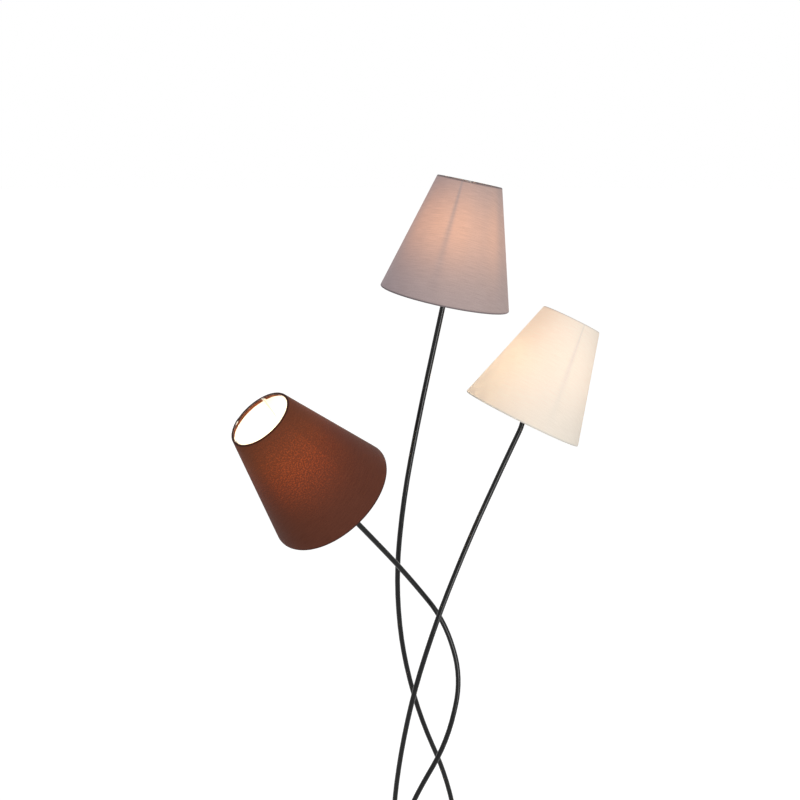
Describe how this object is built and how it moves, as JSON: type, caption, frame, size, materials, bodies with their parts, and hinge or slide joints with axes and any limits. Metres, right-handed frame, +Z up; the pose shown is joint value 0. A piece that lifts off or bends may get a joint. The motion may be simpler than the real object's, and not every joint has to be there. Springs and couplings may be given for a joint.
{
  "type": "floor lamp",
  "caption": "Floor lamp with bent tube stems that cross and fan out from a round weighted foot, each ending in a tilted, tapered fabric shade.",
  "frame": {"origin": "centre of the round foot's underside, on the floor", "axes": "+Z up; -Y towards the viewer, so that +X is to the viewer's right: the highest, grey shade stands near the middle, the cream one at +X and the brown one at -X"},
  "size_m": [0.5652, 0.3674, 1.5514],
  "materials": {
    "black_steel": "satin powder coat",
    "white_steel": "satin enamel",
    "holder_plastic": "fine matt",
    "insulator": "matt",
    "brass_contacts": "bare",
    "opal_glass": "opal",
    "cap_metal": "bare",
    "liner_film": "matt white film",
    "grey_fabric": "woven taupe grey",
    "cream_fabric": "woven cream",
    "brown_fabric": "woven reddish brown",
    "iron": "as cast",
    "zinc_steel": "zinc plated",
    "pad_rubber": "matt",
    "black_rubber": "matt",
    "lead_sheath": "matt"
  },
  "bodies": {
    "stand": {"base_cover": "black_steel", "base_weight": "iron", "base_bottom_plate": "zinc_steel", "base_pad": "pad_rubber", "plate_screws": "zinc_steel", "stem_collars": "black_steel", "lock_washers": "zinc_steel", "stem_nuts": "zinc_steel", "terminal_block": "insulator", "terminal_screws": "zinc_steel", "earth_tag": "zinc_steel", "earth_screw": "zinc_steel", "cord_grommet": "black_rubber", "grey_stem": "black_steel", "grey_lead": "lead_sheath", "grey_nipple": "black_steel", "grey_holder_cap": "holder_plastic", "grey_holder_shell": "holder_plastic", "grey_contact_block": "insulator", "grey_contacts": "brass_contacts", "cream_stem": "black_steel", "cream_lead": "lead_sheath", "cream_nipple": "black_steel", "cream_holder_cap": "holder_plastic", "cream_holder_shell": "holder_plastic", "cream_contact_block": "insulator", "cream_contacts": "brass_contacts", "brown_stem": "black_steel", "brown_lead": "lead_sheath", "brown_nipple": "black_steel", "brown_holder_cap": "holder_plastic", "brown_holder_shell": "holder_plastic", "brown_contact_block": "insulator", "brown_contacts": "brass_contacts"},
    "grey_shade": {"grey_shade_carrier": "white_steel", "grey_top_ring": "white_steel", "grey_bottom_ring": "white_steel", "grey_shade_liner": "liner_film", "grey_shade_cover": "grey_fabric"},
    "grey_clamp_ring": {"grey_shade_ring": "holder_plastic"},
    "grey_bulb": {"grey_bulb_cap": "cap_metal", "grey_bulb_glass": "opal_glass"},
    "cream_shade": {"cream_shade_carrier": "white_steel", "cream_top_ring": "white_steel", "cream_bottom_ring": "white_steel", "cream_shade_liner": "liner_film", "cream_shade_cover": "cream_fabric"},
    "cream_clamp_ring": {"cream_shade_ring": "holder_plastic"},
    "cream_bulb": {"cream_bulb_cap": "cap_metal", "cream_bulb_glass": "opal_glass"},
    "brown_shade": {"brown_shade_carrier": "white_steel", "brown_top_ring": "white_steel", "brown_bottom_ring": "white_steel", "brown_shade_liner": "liner_film", "brown_shade_cover": "brown_fabric"},
    "brown_clamp_ring": {"brown_shade_ring": "holder_plastic"},
    "brown_bulb": {"brown_bulb_cap": "cap_metal", "brown_bulb_glass": "opal_glass"}
  },
  "joints": [
    {"name": "grey_shade_turn", "type": "hinge", "parent": "stand", "child": "grey_shade", "pos_m": [0.0386, 0.0373, 1.364], "axis": [0.2014, 0.0639, 0.9774], "continuous": true},
    {"name": "grey_clamp_ring_turn", "type": "hinge", "parent": "stand", "child": "grey_clamp_ring", "pos_m": [0.0386, 0.0373, 1.364], "axis": [0.2014, 0.0639, 0.9774], "continuous": true},
    {"name": "grey_bulb_turn", "type": "hinge", "parent": "stand", "child": "grey_bulb", "pos_m": [0.0386, 0.0373, 1.364], "axis": [0.2014, 0.0639, 0.9774], "continuous": true},
    {"name": "cream_shade_turn", "type": "hinge", "parent": "stand", "child": "cream_shade", "pos_m": [0.1692, 0.0811, 1.1549], "axis": [0.4389, 0.1791, 0.8805], "continuous": true},
    {"name": "cream_clamp_ring_turn", "type": "hinge", "parent": "stand", "child": "cream_clamp_ring", "pos_m": [0.1692, 0.0811, 1.1549], "axis": [0.4389, 0.1791, 0.8805], "continuous": true},
    {"name": "cream_bulb_turn", "type": "hinge", "parent": "stand", "child": "cream_bulb", "pos_m": [0.1692, 0.0811, 1.1549], "axis": [0.4389, 0.1791, 0.8805], "continuous": true},
    {"name": "brown_shade_turn", "type": "hinge", "parent": "stand", "child": "brown_shade", "pos_m": [-0.1348, -0.0789, 1.0851], "axis": [-0.5233, -0.3347, 0.7837], "continuous": true},
    {"name": "brown_clamp_ring_turn", "type": "hinge", "parent": "stand", "child": "brown_clamp_ring", "pos_m": [-0.1348, -0.0789, 1.0851], "axis": [-0.5233, -0.3347, 0.7837], "continuous": true},
    {"name": "brown_bulb_turn", "type": "hinge", "parent": "stand", "child": "brown_bulb", "pos_m": [-0.1348, -0.0789, 1.0851], "axis": [-0.5233, -0.3347, 0.7837], "continuous": true}
  ]
}
